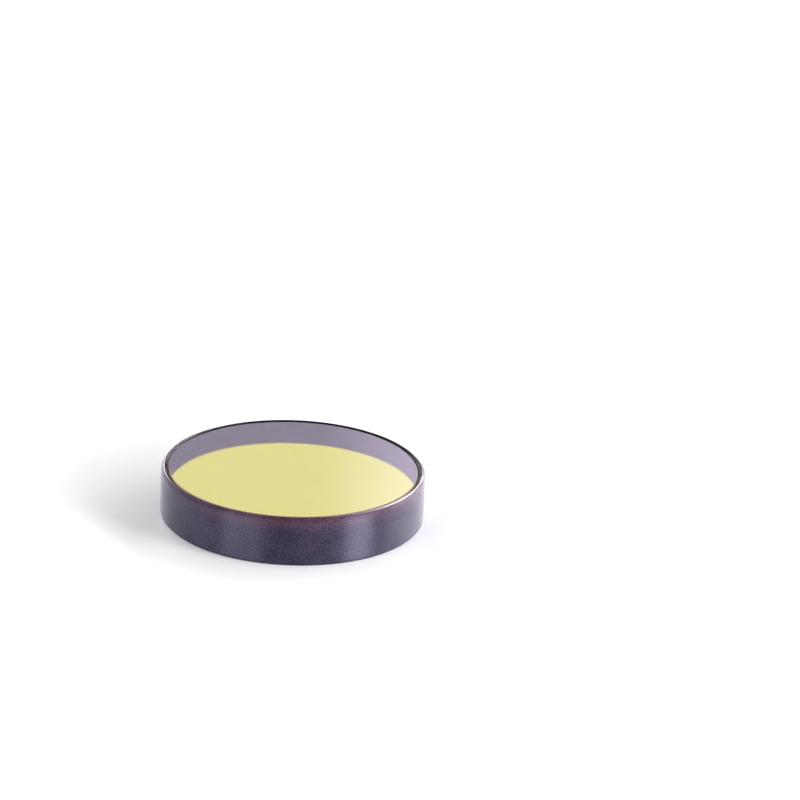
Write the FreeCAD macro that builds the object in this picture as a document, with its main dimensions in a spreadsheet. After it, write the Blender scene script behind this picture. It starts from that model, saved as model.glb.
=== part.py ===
# Mounted optical filter: a coated glass disc bonded into a thin turned ring.
# It lies flat with the thin front rim up. The origin is the centre of the rear
# rim, which it rests on, and +Z is the optical axis. Lengths are millimetres.
import FreeCAD, Part
import os
import Sketcher

# Driving sizes, one row each: name, value, what it is
driving_sizes = [
    ("outer_diameter", 25.0, "ring over its barrel"),
    ("front_wall", 0.5, "ring wall round the glass"),
    ("bond_gap", 0.1, "adhesive between the glass edge and the ring"),
    ("lip_overlap", 1.3, "how far the lip reaches in under the glass"),
    ("lip_thickness", 0.55, "lip from its rear face to the glass seat"),
    ("recess_depth", 0.7, "lip set back from the rear rim"),
    ("rear_rim_width", 0.6, "rear rim round the recess"),
    ("glass_thickness", 3.5, "glass disc"),
    ("glass_setback", 0.05, "glass below the front rim"),
    ("glass_bevel", 0.15, "protective bevel on both glass edges"),
    ("outer_chamfer", 0.3, "both outer edges of the ring"),
    ("bore_break", 0.05, "inner edge of the front rim"),
    ("recess_break", 0.1, "inner edge of the rear rim"),
    ("aperture_break", 0.12, "rear edge of the lip's opening"),
    ("seat_radius", 0.1, "corner between the glass seat and the bore"),
    ("recess_radius", 0.15, "corner between the recess wall and the lip"),
    ("adhesive_rise", 0.06, "adhesive drawn up the ring above the glass edge"),
]

# Radii and heights that follow from them
outer_radius = "(sizes.outer_diameter / 2)"
bore_radius = f"({outer_radius} - sizes.front_wall)"
glass_radius = f"({bore_radius} - sizes.bond_gap)"
aperture_radius = f"({glass_radius} - sizes.lip_overlap)"
recess_wall_radius = f"({outer_radius} - sizes.rear_rim_width)"
rest_height = "0"
lip_rear_height = "(sizes.recess_depth)"
seat_height = f"({lip_rear_height} + sizes.lip_thickness)"
glass_top_height = f"({seat_height} + sizes.glass_thickness)"
front_rim_height = f"({glass_top_height} + sizes.glass_setback)"
adhesive_foot_height = f"({seat_height} + sizes.seat_radius)"
adhesive_inner_height = f"({glass_top_height} - sizes.glass_bevel)"
adhesive_outer_height = f"({adhesive_inner_height} + sizes.adhesive_rise)"

doc = FreeCAD.newDocument("optical_filter")
sheet = doc.addObject("Spreadsheet::Sheet", "sizes")
for row, (alias, value, meaning) in enumerate(driving_sizes, start=1):
    sheet.set(f"A{row}", alias.replace("_", " "))
    sheet.set(f"B{row}", str(value))
    sheet.setAlias(f"B{row}", alias)
    sheet.set(f"C{row}", meaning)
doc.recompute()


def length_of(expression):
    """The value of a radius or height expression, in millimetres."""
    return float(sheet.evalExpression(expression))


def new_body(label):
    """An empty body at the shared origin."""
    body = doc.addObject("PartDesign::Body", label)
    body.Label = label
    body.Placement = FreeCAD.Placement()
    return body


def origin_feature(body, role):
    """One of the body's own origin planes or axes."""
    return next(item for item in body.Origin.OriginFeatures if item.Role == role)


def bind(sketch, constraint, name, expression):
    """Add a dimension to a sketch, name it and tie it to the sheet."""
    index = sketch.addConstraint(constraint)
    sketch.renameConstraint(index, name)
    sketch.setExpression(f"Constraints.{name}", expression)


def bind_height(sketch, line, end, name, expression):
    """Dimension a line's end point above the resting plane."""
    if expression == rest_height:
        sketch.addConstraint(Sketcher.Constraint("PointOnObject", line, end, -1))
    else:
        height = length_of(expression)
        bind(sketch, Sketcher.Constraint("DistanceY", -1, 1, line, end, height),
             name, expression)


def turned_profile(body, corners):
    """A closed half section on the XZ plane, walked round its (radius, height) corners.

    Upright lines get a radius, level lines get a height, and a corner that
    only a sloping line gives no height gets one of its own.
    """
    sketch = body.newObject("Sketcher::SketchObject", f"{body.Name}_profile")
    sketch.AttachmentSupport = [(origin_feature(body, "XZ_Plane"), "")]
    sketch.MapMode = "FlatFace"
    points = [FreeCAD.Vector(length_of(r), length_of(z), 0) for r, z in corners]
    count = len(corners)
    for i in range(count):
        sketch.addGeometry(Part.LineSegment(points[i], points[(i + 1) % count]))
    for i in range(count):
        sketch.addConstraint(Sketcher.Constraint("Coincident", i, 2, (i + 1) % count, 1))

    level_corners = set()
    for i, (radius, height) in enumerate(corners):
        next_radius, next_height = corners[(i + 1) % count]
        if radius == next_radius:
            sketch.addConstraint(Sketcher.Constraint("Vertical", i))
            size = Sketcher.Constraint("DistanceX", -1, 1, i, 1, length_of(radius))
            bind(sketch, size, f"radius_{i}", radius)
        elif height == next_height:
            sketch.addConstraint(Sketcher.Constraint("Horizontal", i))
            bind_height(sketch, i, 1, f"height_{i}", height)
            level_corners.update((i, (i + 1) % count))
    for i in sorted(set(range(count)) - level_corners):
        bind_height(sketch, i, 1, f"corner_height_{i}", corners[i][1])
    return sketch


def revolve(body, sketch, name):
    """Turn a half section once round the body's Z axis."""
    turned = body.newObject("PartDesign::Revolution", name)
    turned.Profile = sketch
    turned.ReferenceAxis = (origin_feature(body, "Z_Axis"), [""])
    turned.Angle = 360
    doc.recompute()
    return turned


def round_edges(feature, places):
    """Names of the circular edges at the given (radius, height) places."""
    wanted = [(length_of(r), length_of(z)) for r, z in places]
    names = []
    for number, edge in enumerate(feature.Shape.Edges, start=1):
        if not isinstance(edge.Curve, Part.Circle):
            continue
        found = (edge.Curve.Radius, edge.Curve.Center.z)
        if any(abs(found[0] - r) < 1e-6 and abs(found[1] - z) < 1e-6 for r, z in wanted):
            names.append(f"Edge{number}")
    if len(names) != len(places):
        raise RuntimeError(f"{feature.Name}: {len(names)} of {len(places)} edges found")
    return names


def dress_edges(body, kind, name, places, size_property, alias):
    """A chamfer or fillet on round edges of the body's present tip."""
    base = body.Tip
    dressed = body.newObject(f"PartDesign::{kind}", name)
    dressed.Base = (base, round_edges(base, places))
    dressed.setExpression(size_property, f"sizes.{alias}")
    doc.recompute()
    return dressed


def make_ring():
    """One turned ring: front bore for the glass, lip, and a shallow rear recess."""
    body = new_body("filter_ring")
    profile = turned_profile(body, [
        (outer_radius, rest_height),
        (outer_radius, front_rim_height),
        (bore_radius, front_rim_height),
        (bore_radius, seat_height),
        (aperture_radius, seat_height),
        (aperture_radius, lip_rear_height),
        (recess_wall_radius, lip_rear_height),
        (recess_wall_radius, rest_height),
    ])
    revolve(body, profile, "turned_ring")
    dress_edges(body, "Fillet", "seat_corner",
                [(bore_radius, seat_height)], "Radius", "seat_radius")
    dress_edges(body, "Fillet", "recess_corner",
                [(recess_wall_radius, lip_rear_height)], "Radius", "recess_radius")
    dress_edges(body, "Chamfer", "outer_chamfers",
                [(outer_radius, rest_height), (outer_radius, front_rim_height)],
                "Size", "outer_chamfer")
    dress_edges(body, "Chamfer", "front_rim_break",
                [(bore_radius, front_rim_height)], "Size", "bore_break")
    dress_edges(body, "Chamfer", "rear_rim_break",
                [(recess_wall_radius, rest_height)], "Size", "recess_break")
    dress_edges(body, "Chamfer", "lip_edge_break",
                [(aperture_radius, lip_rear_height)], "Size", "aperture_break")
    return body


def make_glass():
    """The coated disc, seated on the lip, with both edges bevelled."""
    body = new_body("filter_glass")
    profile = turned_profile(body, [
        ("0", seat_height),
        (glass_radius, seat_height),
        (glass_radius, glass_top_height),
        ("0", glass_top_height),
    ])
    revolve(body, profile, "glass_disc")
    dress_edges(body, "Chamfer", "edge_bevels",
                [(glass_radius, seat_height), (glass_radius, glass_top_height)],
                "Size", "glass_bevel")
    return body


def make_adhesive():
    """The cured bond line that fills the gap between glass and bore."""
    body = new_body("edge_adhesive")
    profile = turned_profile(body, [
        (glass_radius, adhesive_foot_height),
        (bore_radius, adhesive_foot_height),
        (bore_radius, adhesive_outer_height),
        (glass_radius, adhesive_inner_height),
    ])
    revolve(body, profile, "bond_line")
    return body


bodies = [make_ring(), make_glass(), make_adhesive()]
doc.recompute()

for item in doc.Objects:
    if "Invalid" in item.State or "Error" in item.State:
        raise RuntimeError(f"{item.Label} did not compute: {item.State}")
for body in bodies:
    if body.Shape.isNull() or not body.Shape.isValid():
        raise RuntimeError(f"{body.Label} has no valid shape")

os.makedirs("parts", exist_ok=True)
for body in bodies:
    body.Shape.exportStep(f"parts/{body.Label}.step")
    box = body.Shape.optimalBoundingBox()
    print(f"{body.Label}: volume {body.Shape.Volume:.2f} mm3, "
          f"radius {box.XMax:.3f}, height {box.ZMin:.3f} to {box.ZMax:.3f}")
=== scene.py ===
import math

import bpy
import numpy as np
from mathutils import Matrix, Vector


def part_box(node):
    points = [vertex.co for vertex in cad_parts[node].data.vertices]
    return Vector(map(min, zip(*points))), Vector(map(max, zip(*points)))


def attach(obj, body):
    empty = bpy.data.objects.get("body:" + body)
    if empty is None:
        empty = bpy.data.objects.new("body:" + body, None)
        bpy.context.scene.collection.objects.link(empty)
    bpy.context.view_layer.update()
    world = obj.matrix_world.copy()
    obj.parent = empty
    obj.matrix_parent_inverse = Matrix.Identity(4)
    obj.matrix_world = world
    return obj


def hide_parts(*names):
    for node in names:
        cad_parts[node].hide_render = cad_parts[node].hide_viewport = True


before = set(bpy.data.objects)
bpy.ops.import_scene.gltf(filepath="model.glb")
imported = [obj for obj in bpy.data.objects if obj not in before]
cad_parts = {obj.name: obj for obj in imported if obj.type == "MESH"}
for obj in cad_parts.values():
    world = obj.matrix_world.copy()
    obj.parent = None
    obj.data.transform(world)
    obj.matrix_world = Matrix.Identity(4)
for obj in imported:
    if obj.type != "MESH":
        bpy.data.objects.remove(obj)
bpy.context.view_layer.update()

mm = 0.001                      # scene units are metres


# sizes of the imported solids

def measureFrame():
    # distance from the axis = sqrt(x2 + y2) of every ring vertex; each face is the nearest or
    # lowest vertex in its part of the section
    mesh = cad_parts["filter_ring"].data
    points = np.empty(len(mesh.vertices) * 3, np.float32)
    mesh.vertices.foreach_get("co", points)
    points = points.reshape(-1, 3)
    radius, height = np.hypot(points[:, 0], points[:, 1]), points[:, 2]
    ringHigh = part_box("filter_ring")[1]
    glassLow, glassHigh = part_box("filter_glass")
    bondLow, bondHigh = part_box("edge_adhesive")
    aperture = float(radius.min())
    lipRear = float(height[radius < 1.05 * aperture].min())   # the lip is what lies so near the axis
    return {
        "outer": ringHigh[0], "top": ringHigh[2],
        "bore": bondHigh[0], "bondLow": bondLow[2], "bondTop": bondHigh[2],
        "glass": glassHigh[0], "seat": glassLow[2], "glassTop": glassHigh[2],
        "aperture": aperture, "lipRear": lipRear,
        "recess": float(radius[height < 0.9 * lipRear].min()),
    }


size = measureFrame()
print("frame read, mm:", {name: round(value / mm, 3) for name, value in size.items()})


# turned shapes

def roundedOutline(corners, steps, closed=True):
    # Every corner (radius, height, rounding) becomes an arc that meets both sides: its centre is
    # on the bisector, rounding / sin(half the angle) from the corner, and the surface normal
    # turns evenly from one side's normal to the other's. An open outline keeps its two ends.
    corners = np.array(corners, float)
    places, rounding = corners[:, :2], corners[:, 2]
    before = np.roll(places, 1, 0) - places
    after = np.roll(places, -1, 0) - places
    before /= np.linalg.norm(before, axis=1)[:, None]
    after /= np.linalg.norm(after, axis=1)[:, None]
    normalIn = np.stack([-before[:, 1], before[:, 0]], 1)
    normalOut = np.stack([after[:, 1], -after[:, 0]], 1)
    halfAngle = np.arccos(np.sum(before * after, 1)) / 2
    bisector = (before + after) / np.linalg.norm(before + after, axis=1)[:, None]
    centre = places + bisector * (rounding / np.sin(halfAngle))[:, None]
    outward = -np.sign(np.sum(normalIn * bisector, 1)) * rounding
    sweep = np.arccos(np.clip(np.sum(normalIn * normalOut, 1), -1, 1))[:, None, None]
    t = np.linspace(0, 1, steps)[None, :, None]
    normals = (np.sin((1 - t) * sweep) * normalIn[:, None]
               + np.sin(t * sweep) * normalOut[:, None]) / np.sin(sweep)
    points = centre[:, None] + outward[:, None, None] * normals
    if closed:
        return points.reshape(-1, 2), normals.reshape(-1, 2)
    return (np.concatenate([places[:1], points[1:-1].reshape(-1, 2), places[-1:]]),
            np.concatenate([normalOut[:1], normals[1:-1].reshape(-1, 2), normalIn[-1:]]))


def turn(name, points, normals, slotOf, segments, closed=True):
    # x = radius cos a, y = radius sin a, z = height, for each outline point and each angle a.
    # The outline runs anticlockwise round the solid's section. An open one starts and ends on a
    # flat face, which a fan closes at the axis. slotOf gives a material slot from the middle
    # radius, height and upward normal of each band.
    rows = len(points)
    angle = np.arange(segments) * 2 * np.pi / segments
    spokes = np.stack([np.cos(angle), np.sin(angle)], 1)
    places = np.empty((rows, segments, 3))
    places[..., :2] = points[:, None, :1] * spokes
    places[..., 2] = points[:, 1:]
    facing = np.empty((rows, segments, 3))
    facing[..., :2] = normals[:, None, :1] * spokes
    facing[..., 2] = normals[:, 1:]

    row = np.arange(rows if closed else rows - 1)[:, None]
    column = np.arange(segments)[None]
    nextRow, nextColumn = (row + 1) % rows, (column + 1) % segments
    bands = np.stack([row * segments + column, row * segments + nextColumn,
                      nextRow * segments + nextColumn, nextRow * segments + column], -1)
    middle = (points[row[:, 0]] + points[nextRow[:, 0]]) / 2
    upward = (normals[row[:, 0], 1] + normals[nextRow[:, 0], 1]) / 2
    slots = np.repeat(slotOf(middle[:, 0], middle[:, 1], upward), segments)
    places, facing, faces = places.reshape(-1, 3), facing.reshape(-1, 3), bands.reshape(-1, 4).tolist()

    if not closed:
        poles = np.array([[0, 0, points[0, 1]], [0, 0, points[-1, 1]]])
        first, last = rows * segments, rows * segments + 1
        column, nextColumn = column[0], nextColumn[0]
        lastRow = (rows - 1) * segments
        lower = np.stack([np.full(segments, first), nextColumn, column], 1)
        upper = np.stack([np.full(segments, last), lastRow + column, lastRow + nextColumn], 1)
        faces += lower.tolist() + upper.tolist()
        ends = slotOf(points[[0, -1], 0], points[[0, -1], 1], normals[[0, -1], 1])
        slots = np.concatenate([slots, np.repeat(ends, segments)])
        places = np.concatenate([places, poles])
        facing = np.concatenate([facing, [[0, 0, normals[0, 1]], [0, 0, normals[-1, 1]]]])

    mesh = bpy.data.meshes.new(name)
    mesh.from_pydata(places.tolist(), [], faces)
    mesh.polygons.foreach_set("use_smooth", np.ones(len(faces), bool))
    mesh.polygons.foreach_set("material_index", slots.astype(np.int32))
    mesh.normals_split_custom_set_from_vertices(facing.tolist())
    mesh.update()
    piece = bpy.data.objects.new(name, mesh)
    bpy.context.scene.collection.objects.link(piece)
    return piece


# node helpers

def addNode(tree, kind, inputs=None, **settings):
    # makes a node, sets its properties, and sets or links each named or numbered input
    node = tree.nodes.new(kind)
    for name, value in settings.items():
        setattr(node, name, value)
    for name, value in (inputs or {}).items():
        if isinstance(value, bpy.types.NodeSocket):
            tree.links.new(value, node.inputs[name])
        else:
            node.inputs[name].default_value = value
    return node


def calculate(tree, operation, *values, clamp=False):
    # one step of arithmetic on numbers and sockets
    node = addNode(tree, "ShaderNodeMath", dict(enumerate(values)), operation=operation,
                   use_clamp=clamp)
    return node.outputs[0]


def ramp(tree, value, start, stop, low=0.0, high=1.0, shape="LINEAR"):
    # maps start..stop of a value to low..high
    node = addNode(tree, "ShaderNodeMapRange",
                   {"Value": value, "From Min": start, "From Max": stop, "To Min": low,
                    "To Max": high}, interpolation_type=shape)
    return node.outputs[0]


def spread(tree, value, low, high):
    # maps 0.3..0.7, where most of a noise lies, to low..high
    return ramp(tree, value, 0.3, 0.7, low, high)


def mixColour(tree, factor, first, second):
    # linear blend of two colours, each given as numbers or as a socket
    first, second = (end if isinstance(end, bpy.types.NodeSocket) else (*end, 1)
                     for end in (first, second))
    node = addNode(tree, "ShaderNodeMix", {"Factor": factor, 6: first, 7: second}, data_type="RGBA")
    return node.outputs[2]


def position(tree):
    # X, Y and Z of the shaded point
    place = addNode(tree, "ShaderNodeTexCoord")
    return addNode(tree, "ShaderNodeSeparateXYZ", {0: place.outputs["Object"]}).outputs


def newGroup(name, inputs, outputs):
    # an empty shader node group with number sockets; returns it with its two end nodes
    group = bpy.data.node_groups.new(name, "ShaderNodeTree")
    for socket, value in inputs.items():
        made = group.interface.new_socket(socket, in_out="INPUT", socket_type="NodeSocketFloat")
        made.default_value = value
    for socket in outputs:
        group.interface.new_socket(socket, in_out="OUTPUT", socket_type="NodeSocketFloat")
    return group, group.nodes.new("NodeGroupInput"), group.nodes.new("NodeGroupOutput")


def useGroup(tree, group, inputs=None):
    return addNode(tree, "ShaderNodeGroup", inputs, node_tree=group)


def newMaterial(name):
    material = bpy.data.materials.new(name)
    material.use_nodes = True
    tree = material.node_tree
    return material, tree, tree.nodes["Principled BSDF"]


# shared surface effects

def makeTurningLines():
    # Tool lines run round the axis, so they are noise stretched along circles: its first
    # coordinate is (distance from the axis + 1.37 height) / pitch, which changes across the
    # lines on every face of a turned part, and the other two change slowly, so lines fade out.
    group, given, result = newGroup(
        "turningLines", {"Pitch": 0.00012, "Breakup": 90.0}, ["Lines", "Bands"])
    place = position(group)
    flat = addNode(group, "ShaderNodeCombineXYZ", {"X": place["X"], "Y": place["Y"]})
    radius = addNode(group, "ShaderNodeVectorMath", {0: flat.outputs[0]}, operation="LENGTH")
    across = calculate(group, "MULTIPLY_ADD", place["Z"], 1.37, radius.outputs["Value"])
    along = addNode(group, "ShaderNodeCombineXYZ",
                    {"X": calculate(group, "DIVIDE", across, given.outputs["Pitch"]),
                     "Y": calculate(group, "MULTIPLY", place["X"], given.outputs["Breakup"]),
                     "Z": calculate(group, "MULTIPLY", place["Y"], given.outputs["Breakup"])})
    lines = addNode(group, "ShaderNodeTexNoise",
                    {"Vector": along.outputs[0], "Scale": 1.0, "Detail": 2.0, "Roughness": 0.6})
    bands = addNode(group, "ShaderNodeTexNoise",
                    {"Vector": along.outputs[0], "Scale": 0.21, "Detail": 1.0})
    group.links.new(lines.outputs[0], result.inputs["Lines"])
    group.links.new(bands.outputs[0], result.inputs["Bands"])
    return group


def makeEtchedGrain():
    # Etching before anodising leaves a fine pitted grain, and the dye takes unevenly:
    # Grain is fine noise, Cloud is broad noise, both from 0 to 1 about 0.5.
    group, given, result = newGroup(
        "etchedGrain", {"Grain Scale": 9500.0, "Cloud Scale": 420.0}, ["Grain", "Cloud"])
    place = addNode(group, "ShaderNodeTexCoord")
    grain = addNode(group, "ShaderNodeTexNoise",
                    {"Vector": place.outputs["Object"], "Scale": given.outputs["Grain Scale"],
                     "Detail": 1.0, "Roughness": 0.5})
    cloud = addNode(group, "ShaderNodeTexNoise",
                    {"Vector": place.outputs["Object"], "Scale": given.outputs["Cloud Scale"],
                     "Detail": 4.0, "Roughness": 0.55})
    group.links.new(grain.outputs[0], result.inputs["Grain"])
    group.links.new(cloud.outputs[0], result.inputs["Cloud"])
    return group


turningLines = makeTurningLines()
etchedGrain = makeEtchedGrain()


# black-anodised ring

ring = {
    "segments": 720,
    "arcSteps": 9,
    "wallChamfer": 0.30 * mm,
    "boreBreak": 0.05 * mm,
    "rearBreak": 0.10 * mm,
    "lipBreak": 0.12 * mm,
    "seatRadius": 0.10 * mm,
    "recessRadius": 0.15 * mm,
    "edgeRounding": 0.03 * mm,
    "landRounding": 0.16 * mm,
    "wallRounding": 0.40 * mm,
    "footReach": 0.6,            # how far in from the wall the foot goes, as a share of the chamfer
    "footTilt": 0.45,            # what is left there of the upward part of the shading normals
    # the upward part of the normal at which foot, chamfer, rubbed corner and land start
    "slopes": (0.08, 0.30, 0.72, 0.98),
    "landDepth": 0.004 * mm,     # the land reaches this far down into its rounding
    "dyes": {                    # deep and thin
        "wall": ((0.0, 0.0, 0.006), (0.035, 0.024, 0.053)),
        "edge": ((0.028, 0.009, 0.016), (0.086, 0.044, 0.070)),
        "land": ((0.008, 0.004, 0.006), (0.020, 0.010, 0.014)),
        "bore": ((0.002, 0.001, 0.003), (0.006, 0.004, 0.008)),
    },
    "specks": (0.44, 0.68),      # the part of the grain over which the dye goes from deep to thin
    "cloudShare": 0.3,           # how much the broad noise adds to the grain
    "edgeFade": (1.5 * mm, 0.3 * mm),    # the dye is thin and reddish this far below the front
    "edgeSide": (-11.5 * mm, -4 * mm),   # and less so on this side of the ring
    "edgeLeast": 0.3,                    # down to this share of it
    "finishes": {
        # in the order of the slots: dye, roughness, gloss, share of the edge dye near the front,
        # and roughness added on the side of the ring that hands rub least
        "blackAnodisedWall": ("wall", (0.38, 0.42), 0.56, 0.7, 0.0),
        "blackAnodisedLand": ("land", (0.42, 0.5), 0.0, 0.0, 0.0),
        "blackAnodisedChamfer": ("wall", (0.38, 0.42), 0.19, 0.8, 0.30),
        "blackAnodisedBore": ("bore", (0.5, 0.6), 0.12, 0.0, 0.0),
        "rubbedCorner": ("land", (0.20, 0.24), 0.10, 0.0, 0.50),
        "blackAnodisedFoot": ("wall", (0.38, 0.42), 0.34, 0.75, 0.12),
    },
    "unrubbedFrom": (10.2 * mm, 11.9 * mm),   # this far from the axis on that side
    "sheen": (0.76, 0.725, 1.0),
    "anisotropy": 0.97,
    "anisotropyTurn": 0.25,      # the gloss spreads across the tool lines
    "ior": 1.50,
    "linePitch": 0.11 * mm,
    "lineDepth": 0.0016 * mm,
    "grainDepth": 0.0060 * mm,
    "grainRoughness": 0.14,
}


def anodisedMaterial(name, dye, roughness, gloss, edgeShare, unrubbed):
    # dye level = grain + cloud share (cloud - 0.5), from deep to thin, so that most of the face
    # is dark with fine pale specks; near the front edge it goes over to the edge dye
    material, tree, shader = newMaterial(name)
    lines = useGroup(tree, turningLines, {"Pitch": ring["linePitch"]})
    grain = useGroup(tree, etchedGrain)
    cloud = calculate(tree, "MULTIPLY_ADD", grain.outputs["Cloud"], ring["cloudShare"],
                      -0.5 * ring["cloudShare"])
    dyeLevel = calculate(tree, "ADD", grain.outputs["Grain"], cloud)
    speck = ramp(tree, dyeLevel, *ring["specks"])
    colour = mixColour(tree, speck, *ring["dyes"][dye])
    if edgeShare:
        place = position(tree)
        below, near = ring["edgeFade"]
        edge = ramp(tree, place["Z"], size["top"] - below, size["top"] - near, 0.0, edgeShare,
                    shape="SMOOTHSTEP")
        even = ramp(tree, place["X"], *ring["edgeSide"], ring["edgeLeast"], 1.0,
                    shape="SMOOTHSTEP")
        colour = mixColour(tree, calculate(tree, "MULTIPLY", edge, even), colour,
                           mixColour(tree, speck, *ring["dyes"]["edge"]))
    tree.links.new(colour, shader.inputs["Base Color"])
    rough = calculate(tree, "MULTIPLY_ADD", spread(tree, grain.outputs["Grain"], -0.5, 0.5),
                      ring["grainRoughness"], spread(tree, lines.outputs["Bands"], *roughness))
    if unrubbed:
        start, stop = ring["unrubbedFrom"]
        dull = ramp(tree, position(tree)["X"], -start, -stop, 0.0, unrubbed, shape="SMOOTHSTEP")
        rough = calculate(tree, "ADD", rough, dull)
    tree.links.new(rough, shader.inputs["Roughness"])
    grainBump = addNode(tree, "ShaderNodeBump",
                        {"Strength": 1.0, "Distance": ring["grainDepth"],
                         "Height": grain.outputs["Grain"]})
    lineBump = addNode(tree, "ShaderNodeBump",
                       {"Strength": 1.0, "Distance": ring["lineDepth"],
                        "Height": lines.outputs["Lines"], "Normal": grainBump.outputs[0]})
    tree.links.new(lineBump.outputs[0], shader.inputs["Normal"])
    shader.inputs["IOR"].default_value = ring["ior"]
    shader.inputs["Specular IOR Level"].default_value = gloss
    shader.inputs["Specular Tint"].default_value = (*ring["sheen"], 1)
    shader.inputs["Anisotropic"].default_value = ring["anisotropy"]
    shader.inputs["Anisotropic Rotation"].default_value = ring["anisotropyTurn"]
    return material


def ringOutline():
    # the section of the ring, anticlockwise from the rear rim
    outer, top, bore, seat = size["outer"], size["top"], size["bore"], size["seat"]
    lip, opening, recess = size["lipRear"], size["aperture"], size["recess"]
    chamfer, small = ring["wallChamfer"], ring["edgeRounding"]
    boreCut, rearCut, lipCut = ring["boreBreak"], ring["rearBreak"], ring["lipBreak"]
    corners = [
        (recess + rearCut, 0, small / 2),
        (outer - chamfer, 0, small),
        (outer, chamfer, ring["wallRounding"]),
        (outer, top - chamfer, ring["wallRounding"]),
        (outer - chamfer, top, ring["landRounding"]),
        (bore + boreCut, top, small / 2),
        (bore, top - boreCut, small / 2),
        (bore, seat, ring["seatRadius"]),
        (opening, seat, small),
        (opening, lip + lipCut, small),
        (opening + lipCut, lip, small),
        (recess, lip, ring["recessRadius"]),
        (recess, rearCut, small / 2),
    ]
    points, normals = roundedOutline(corners, ring["arcSteps"])
    # the wall's gloss runs on over the rubbed foot of each chamfer: there the shading normal's
    # upward part is cut to a share, and the outward part makes up the length
    nearWall = points[:, 0] > outer - ring["footReach"] * chamfer
    foot = nearWall & (np.abs(normals[:, 1]) < ring["slopes"][2])
    normals[foot, 1] *= ring["footTilt"]
    normals[foot, 0] = np.sqrt(1 - normals[foot, 1] ** 2)
    return points, normals


def makeRing():
    points, normals = ringOutline()

    def slotOf(radius, height, upward):
        # 0 wall, rear rim and lip, 1 front land, 2 front chamfer, 3 bore above the seat, 4 the
        # rubbed corner between the land and the front chamfer, 5 the foot of that chamfer
        footFrom, chamferFrom, cornerFrom, landFrom = ring["slopes"]
        outside = radius > (size["outer"] + size["bore"]) / 2
        corner = outside & (upward > cornerFrom) & (upward < landFrom)
        land = (upward >= landFrom) & (height > size["top"] - ring["landDepth"])
        chamfer = outside & (upward > chamferFrom) & (upward < cornerFrom)
        foot = outside & (upward > footFrom) & (upward <= chamferFrom)
        bore = (radius < size["bore"] + ring["boreBreak"]) & (height > size["seat"])
        return np.select([corner, land, chamfer, foot, bore], [4, 1, 2, 5, 3], 0)

    piece = turn("anodised_ring", points, normals, slotOf, ring["segments"])
    for name, finish in ring["finishes"].items():
        piece.data.materials.append(anodisedMaterial(name, *finish))
    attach(piece, "root")
    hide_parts("filter_ring")
    return piece


anodisedRing = makeRing()
print("ring turned")


# coated glass

glass = {
    "segments": 720,
    "arcSteps": 4,
    "bevel": 0.15 * mm,
    "edgeRounding": 0.02 * mm,
    "seatGap": 0.004 * mm,
    "innerRow": 0.25,            # where the fan at the axis starts, as a share of the flat face
    "edgeSlope": 0.05,           # the edge's normals point up or down by less than this
    "faceSlope": 0.999,          # and those of the two faces by more than this
    "ior": 1.50,
    "body": ((0.99, 0.99, 0.97), (1.0, 1.0, 1.0)),
    "rearFilmInside": ((0.73, 0.70, 0.0), (0.76, 0.72, 0.004)),
    # painted light: the front bevel's amber colour stands for the yellow coating's light that comes out
    # through the bevel, laid on as a warm mirror
    "bevelPaintedGlow": ((0.50, 0.34, 0.24), (0.58, 0.40, 0.29)),
    "bevelRoughness": 0.2,
    "inkColour": ((0.004, 0.003, 0.005), (0.010, 0.008, 0.011)),
    "inkRoughness": 0.9,
    "frontFilm": ((0.71, 0.585, 0.91), (0.74, 0.61, 0.95)),
    "frontFilmShare": 0.23,      # what the lilac film reflects, the rest passes
    "rearFilmOutside": ((0.86, 0.89, 0.86), (0.88, 0.90, 0.89)),
    "rearFilmRoughness": 0.02,
    "filmThickness": 0.003 * mm,
    "filmGap": 0.0003 * mm,
    "filmRounding": 0.2,         # as a share of the film's thickness
    "filmArcSteps": 3,
    "filmSegments": 360,
    "filmInnerRow": 0.5,
    "rearFilmMargin": 0.03 * mm,
    "waveScale": 160.0,
}


def filmMaterial(name, colours, metal, roughness=0.0):
    # a smooth thin film; its colour drifts very slightly over the disc with the film's thickness
    material, tree, shader = newMaterial(name)
    cloud = useGroup(tree, etchedGrain, {"Cloud Scale": glass["waveScale"]})
    colour = mixColour(tree, spread(tree, cloud.outputs["Cloud"], 0, 1), *colours)
    tree.links.new(colour, shader.inputs["Base Color"])
    shader.inputs["Metallic"].default_value = metal
    shader.inputs["Roughness"].default_value = roughness
    shader.inputs["IOR"].default_value = glass["ior"]
    return material, tree, shader


def glassBody():
    # clear glass that mirrors little by itself, since the film on it does the reflecting; its
    # index is 1 for light on its way out, which then leaves without an echo inside
    material, tree, shader = filmMaterial("clearFilterGlass", glass["body"], 0.0)
    shader.inputs["Transmission Weight"].default_value = 1.0
    shader.inputs["Specular Tint"].default_value = (0, 0, 0, 1)
    side = addNode(tree, "ShaderNodeNewGeometry")
    index = ramp(tree, side.outputs["Backfacing"], 0.0, 1.0, glass["ior"], 1.0)
    tree.links.new(index, shader.inputs["IOR"])
    return material


def edgeInk():
    material, tree, shader = filmMaterial("blackenedGlassEdge", glass["inkColour"], 0.0,
                                          glass["inkRoughness"])
    shader.inputs["Specular IOR Level"].default_value = 0.0
    return material


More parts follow.
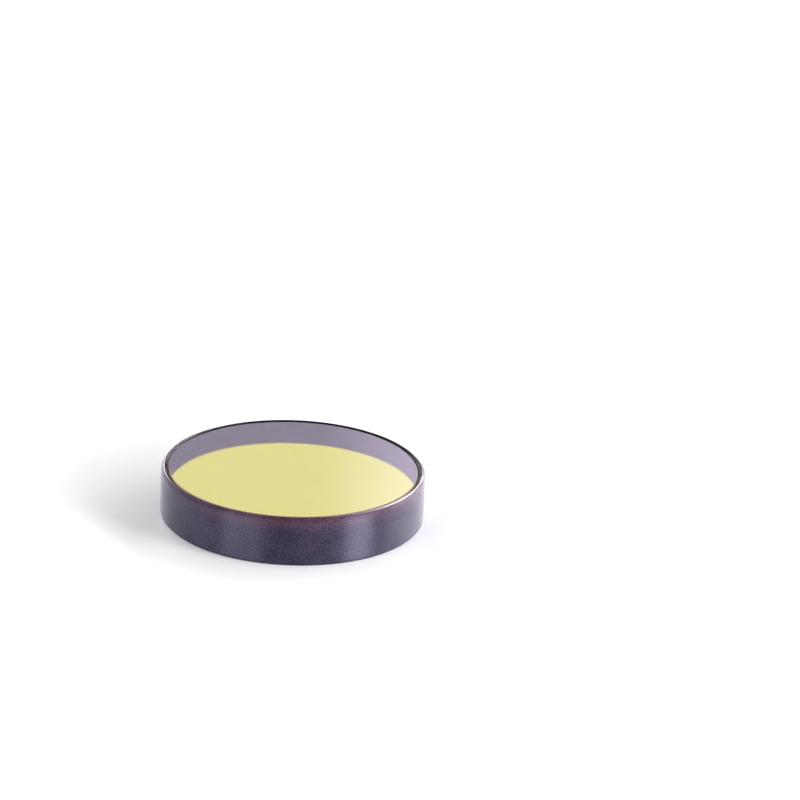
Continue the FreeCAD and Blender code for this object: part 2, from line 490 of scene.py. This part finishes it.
def makeGlass():
    radius, low, high = size["glass"], size["seat"] + glass["seatGap"], size["glassTop"]
    bevel, small = glass["bevel"], glass["edgeRounding"]
    flat = radius - bevel
    corners = [
        (flat * glass["innerRow"], low, 0),
        (flat, low, small),
        (radius, low + bevel, small),
        (radius, high - bevel, small),
        (flat, high, small),
        (flat * glass["innerRow"], high, 0),
    ]
    points, normals = roundedOutline(corners, glass["arcSteps"], closed=False)

    def slotOf(radiusAt, height, upward):
        # 0 front face, 1 front bevel, 2 edge and rear bevel, 3 rear face
        frontBevel = (np.abs(upward) >= glass["edgeSlope"]) & (height >= (low + high) / 2)
        front, rear = upward > glass["faceSlope"], upward < -glass["faceSlope"]
        return np.select([front, rear, frontBevel], [0, 3, 1], 2)

    piece = turn("coated_disc", points, normals, slotOf, glass["segments"], closed=False)
    rearInside = filmMaterial("yellowRearCoating", glass["rearFilmInside"], 1.0)[0]
    # the front bevel is a warm-tinted mirror whose amber colour is a painted glow of the yellow
    # coating's light inside the glass
    paintedGlowBevel = filmMaterial("bevelPaintedYellowGlow", glass["bevelPaintedGlow"], 1.0, glass["bevelRoughness"])[0]
    for material in (glassBody(), paintedGlowBevel, edgeInk(), rearInside):
        piece.data.materials.append(material)
    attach(piece, "root")
    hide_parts("filter_glass")


def lilacFilm(level):
    # Alpha = share of light reflected on the outer face, and nothing on the inner one or from
    # behind, so that light which comes back through the glass leaves without a second echo
    material, tree, shader = filmMaterial("lilacFrontCoating", glass["frontFilm"], 1.0)
    outer = calculate(tree, "GREATER_THAN", position(tree)["Z"], level)
    side = addNode(tree, "ShaderNodeNewGeometry")
    front = calculate(tree, "SUBTRACT", outer, side.outputs["Backfacing"], clamp=True)
    share = calculate(tree, "MULTIPLY", front, glass["frontFilmShare"])
    tree.links.new(share, shader.inputs["Alpha"])
    return material


def makeFilm(name, radius, low, high, material):
    # a disc as thin as a coating, closed round its rim
    small = glass["filmRounding"] * (high - low)
    core = radius * glass["filmInnerRow"]
    corners = [(core, low, 0), (radius, low, small), (radius, high, small), (core, high, 0)]
    points, normals = roundedOutline(corners, glass["filmArcSteps"], closed=False)
    piece = turn(name, points, normals, lambda r, z, up: np.zeros(len(r)),
                 glass["filmSegments"], closed=False)
    piece.data.materials.append(material)
    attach(piece, "root")


def makeFilms():
    low = size["glassTop"] + glass["filmGap"]
    high = low + glass["filmThickness"]
    makeFilm("front_coating", size["glass"] - glass["bevel"], low, high, lilacFilm((low + high) / 2))
    high = size["seat"] - glass["filmGap"]
    outside = filmMaterial("neutralRearCoating", glass["rearFilmOutside"], 1.0,
                           glass["rearFilmRoughness"])[0]
    makeFilm("rear_coating", size["aperture"] - glass["rearFilmMargin"],
             high - glass["filmThickness"], high, outside)


makeGlass()
makeFilms()
print("glass and its two coatings turned")


# cured adhesive

bond = {
    "segments": 720,
    "meniscusSteps": 7,
    "sag": 0.03 * mm,
    "clearance": 0.001 * mm,
    "colours": ((0.004, 0.003, 0.005), (0.012, 0.009, 0.013)),
    "cloudScale": 900.0,
    "roughness": (0.45, 0.6),
    "gloss": 0.05,
}


def makeBond():
    # a ring between the glass edge and the bore; its top is a meniscus, height = glass side +
    # rise t - 4 sag t (1 - t) for t from the glass to the bore
    inner, outer = size["glass"] + bond["clearance"], size["bore"] - bond["clearance"]
    low, high = size["bondLow"], size["bondTop"]
    glassSide = size["glassTop"] - glass["bevel"]
    t = np.linspace(1, 0, bond["meniscusSteps"])
    top = glassSide + (high - glassSide) * t - 4 * bond["sag"] * t * (1 - t)
    slope = ((high - glassSide) - 4 * bond["sag"] * (1 - 2 * t)) / (outer - inner)
    curve = np.stack([inner + (outer - inner) * t, top], 1)
    curveNormals = np.stack([-slope, np.ones_like(slope)], 1)
    curveNormals /= np.linalg.norm(curveNormals, axis=1)[:, None]
    diagonal = math.sqrt(0.5)    # at its foot the normals point halfway between side and bottom
    points = np.concatenate([[(inner, low), (outer, low)], curve])
    normals = np.concatenate([[(-diagonal, -diagonal), (diagonal, -diagonal)], curveNormals])
    piece = turn("cured_bond", points, normals, lambda r, z, up: np.zeros(len(r)), bond["segments"])
    material, tree, shader = newMaterial("curedBlackAdhesive")
    grain = useGroup(tree, etchedGrain, {"Cloud Scale": bond["cloudScale"]})
    colour = mixColour(tree, spread(tree, grain.outputs["Cloud"], 0, 1), *bond["colours"])
    tree.links.new(colour, shader.inputs["Base Color"])
    tree.links.new(spread(tree, grain.outputs["Cloud"], *bond["roughness"]), shader.inputs["Roughness"])
    shader.inputs["Specular IOR Level"].default_value = bond["gloss"]
    piece.data.materials.append(material)
    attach(piece, "root")
    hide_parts("edge_adhesive")
    return piece


curedBond = makeBond()
print("adhesive made")


# camera

view = {
    "lens": 274.5,               # millimetres, on the default 36 mm sensor
    "elevation": math.radians(21.560),
    "roll": math.radians(2.504),
    "distance": 577.64 * mm,
    "sideOffset": 10.264 * mm,   # the filter is left of and below the middle of the frame
    "riseOffset": 10.873 * mm,
}


def makeCamera():
    back = Vector((0, -math.cos(view["elevation"]), math.sin(view["elevation"])))
    level = Vector((1, 0, 0))
    rise = back.cross(level)
    right = level * math.cos(view["roll"]) + rise * math.sin(view["roll"])
    up = rise * math.cos(view["roll"]) - level * math.sin(view["roll"])
    place = right * view["sideOffset"] + up * view["riseOffset"] + back * view["distance"]
    data = bpy.data.cameras.new("camera")
    data.lens = view["lens"]
    camera = bpy.data.objects.new("camera", data)
    camera.matrix_world = Matrix((
        (right.x, up.x, back.x, place.x),
        (right.y, up.y, back.y, place.y),
        (right.z, up.z, back.z, place.z),
        (0, 0, 0, 1)))
    bpy.context.scene.collection.objects.link(camera)
    bpy.context.scene.camera = camera


makeCamera()
bpy.context.scene.view_settings.view_transform = "Standard"


# floor, backdrop and light

studio = {
    "floorHalf": 3.0,            # metres
    "floorColour": (0.93, 0.93, 0.935),
    "underGlow": 0.2,
    "lamps": {
        # azimuth and elevation in degrees, width and height of the panel as seen from the
        # part in degrees, brightness as radiance
        "leftStrip": (-132, 14, 34, 24, 7.6),
        "leftFill": (-178, 14, 56, 24, 1.5),
        "frontFill": (-60, 14, 48, 24, 1.6),
        "rightStrip": (-30, 14, 24, 24, 15.6),
        "rightLow": (12, 14, 60, 24, 1.7),
        "rightSoftbox": (36, 36, 72, 14, 5.2),
        "backLeftStrip": (112, 14, 24, 24, 8.4),
        "backLeftFill": (138, 14, 26, 24, 3.5),
        "upperLeftPanel": (172, 36, 40, 14, 2.7),
        "rightSky": (-20, 25, 40, 20, 2.4),
    },
    "notMirrored": ("rightSky",),        # lights matte faces and shows in no reflection
    "lampDistance": 0.45,                # metres
    "cards": {
        # azimuth, elevation, width and height in degrees, distance, glow at each side
        "backCard": (88, 21, 4.6, 12, 0.20, (0.0, 0.85)),
        "rightCard": (29, 25, 50, 40, 0.30, (7.1, 7.1)),
        "stripCard": (-30, 16, 18, 30, 0.30, (10.0, 10.0)),
        "cornerCard": (62, 17, 9, 32, 0.30, (26.0, 26.0)),
        "upperCard": (61, 43, 22, 18, 0.30, (96.0, 96.0)),
    },
    "mirroredInGlass": ("backCard",),    # the glass mirrors no other card
}


def seenDirectly(tree):
    # 1 for rays from the camera, from reflections and through glass, else 0
    path = addNode(tree, "ShaderNodeLightPath")
    either = calculate(tree, "MAXIMUM", path.outputs["Is Camera Ray"], path.outputs["Is Glossy Ray"])
    return calculate(tree, "MAXIMUM", either, path.outputs["Is Transmission Ray"])


def makeFloor():
    half = studio["floorHalf"]
    mesh = bpy.data.meshes.new("floor")
    mesh.from_pydata([(-half, -half, 0), (half, -half, 0), (half, half, 0), (-half, half, 0)],
                     [], [(0, 1, 2, 3)])
    floor = bpy.data.objects.new("floor", mesh)
    bpy.context.scene.collection.objects.link(floor)
    material, tree, shader = newMaterial("paleFloor")
    tree.nodes.clear()
    matte = addNode(tree, "ShaderNodeBsdfDiffuse", {"Color": (*studio["floorColour"], 1)})
    # under the part the floor glows, so that the closed space behind the glass isn't black
    place = addNode(tree, "ShaderNodeTexCoord")
    fromAxis = addNode(tree, "ShaderNodeVectorMath", {0: place.outputs["Object"]}, operation="LENGTH")
    under = calculate(tree, "LESS_THAN", fromAxis.outputs["Value"], size["recess"])
    glow = addNode(tree, "ShaderNodeEmission",
                   {"Strength": calculate(tree, "MULTIPLY", under, studio["underGlow"])})
    lit = addNode(tree, "ShaderNodeAddShader", {0: matte.outputs[0], 1: glow.outputs[0]})
    clear = addNode(tree, "ShaderNodeBsdfTransparent")
    side = addNode(tree, "ShaderNodeNewGeometry")
    oneSided = addNode(tree, "ShaderNodeMixShader",
                       {0: side.outputs["Backfacing"], 1: lit.outputs[0], 2: clear.outputs[0]})
    addNode(tree, "ShaderNodeOutputMaterial", {"Surface": oneSided.outputs[0]})
    material.cycles.emission_sampling = "NONE"
    mesh.materials.append(material)
    return floor


def makeWorld():
    world = bpy.data.worlds.new("studioWhite")
    world.use_nodes = True
    tree = world.node_tree
    tree.links.new(seenDirectly(tree), tree.nodes["Background"].inputs["Strength"])
    tree.nodes["Background"].inputs["Color"].default_value = (1, 1, 1, 1)
    bpy.context.scene.world = world


def panelDirection(azimuth, elevation):
    # from the part toward the panel, (cos a cos e, sin a cos e, sin e), and level across it,
    # (sin a, -cos a, 0), for angles in degrees
    a, e = math.radians(azimuth), math.radians(elevation)
    toward = Vector((math.cos(a) * math.cos(e), math.sin(a) * math.cos(e), math.sin(e)))
    return toward, Vector((math.sin(a), -math.cos(a), 0))


def halfSize(distance, angle):
    # half the width of what fills an angle in degrees at a distance = distance tan(angle / 2)
    return distance * math.tan(math.radians(angle) / 2)


def makeCard(name, azimuth, elevation, wide, tall, distance, glows):
    # a clear card which faces the filter and glows only in reflections, from one brightness at
    # its left side to another at its right side
    toward, across = panelDirection(azimuth, elevation)
    rise = across.cross(toward)
    halfWide, halfTall = halfSize(distance, wide), halfSize(distance, tall)
    mesh = bpy.data.meshes.new(name)
    mesh.from_pydata([toward * distance - across * halfWide - rise * halfTall,
                      toward * distance + across * halfWide - rise * halfTall,
                      toward * distance + across * halfWide + rise * halfTall,
                      toward * distance - across * halfWide + rise * halfTall], [], [(0, 1, 2, 3)])
    card = bpy.data.objects.new(name, mesh)
    bpy.context.scene.collection.objects.link(card)
    material, tree, shader = newMaterial(name)
    tree.nodes.clear()
    place = addNode(tree, "ShaderNodeTexCoord")
    side = addNode(tree, "ShaderNodeVectorMath",
                   {0: place.outputs["Object"], 1: across}, operation="DOT_PRODUCT")
    level = ramp(tree, side.outputs["Value"], -halfWide, halfWide, *glows, shape="SMOOTHSTEP")
    path = addNode(tree, "ShaderNodeLightPath")
    glow = addNode(tree, "ShaderNodeEmission",
                   {"Strength": calculate(tree, "MULTIPLY", level, path.outputs["Is Glossy Ray"])})
    clear = addNode(tree, "ShaderNodeBsdfTransparent")
    both = addNode(tree, "ShaderNodeAddShader", {0: glow.outputs[0], 1: clear.outputs[0]})
    addNode(tree, "ShaderNodeOutputMaterial", {"Surface": both.outputs[0]})
    material.cycles.emission_sampling = "NONE"   # found by reflected rays alone
    mesh.materials.append(material)
    return card


def makeLamps(lit):
    # a panel's power is 4 area radiance. The panels light what is in the collection, and the
    # coated glass, which isn't in it, mirrors the white room alone.
    distance = studio["lampDistance"]
    for name, (azimuth, elevation, wide, tall, radiance) in studio["lamps"].items():
        toward = panelDirection(azimuth, elevation)[0]
        data = bpy.data.lights.new(name, "AREA")
        data.shape = "RECTANGLE"
        data.size = 2 * halfSize(distance, wide)
        data.size_y = 2 * halfSize(distance, tall)
        data.energy = 4 * data.size * data.size_y * radiance
        lamp = bpy.data.objects.new(name, data)
        lamp.location = toward * distance
        lamp.rotation_euler = toward.to_track_quat("Z", "Y").to_euler()
        lamp.visible_camera = False
        lamp.visible_transmission = False
        lamp.visible_glossy = name not in studio["notMirrored"]
        lamp.light_linking.receiver_collection = lit
        bpy.context.scene.collection.objects.link(lamp)


litByLamps = bpy.data.collections.new("litByLamps")
for piece in (anodisedRing, curedBond, makeFloor()):
    litByLamps.objects.link(piece)
makeWorld()
for cardName, cardPlace in studio["cards"].items():
    card = makeCard(cardName, *cardPlace)
    if cardName not in studio["mirroredInGlass"]:
        card.light_linking.receiver_collection = litByLamps
makeLamps(litByLamps)
print("studio set")
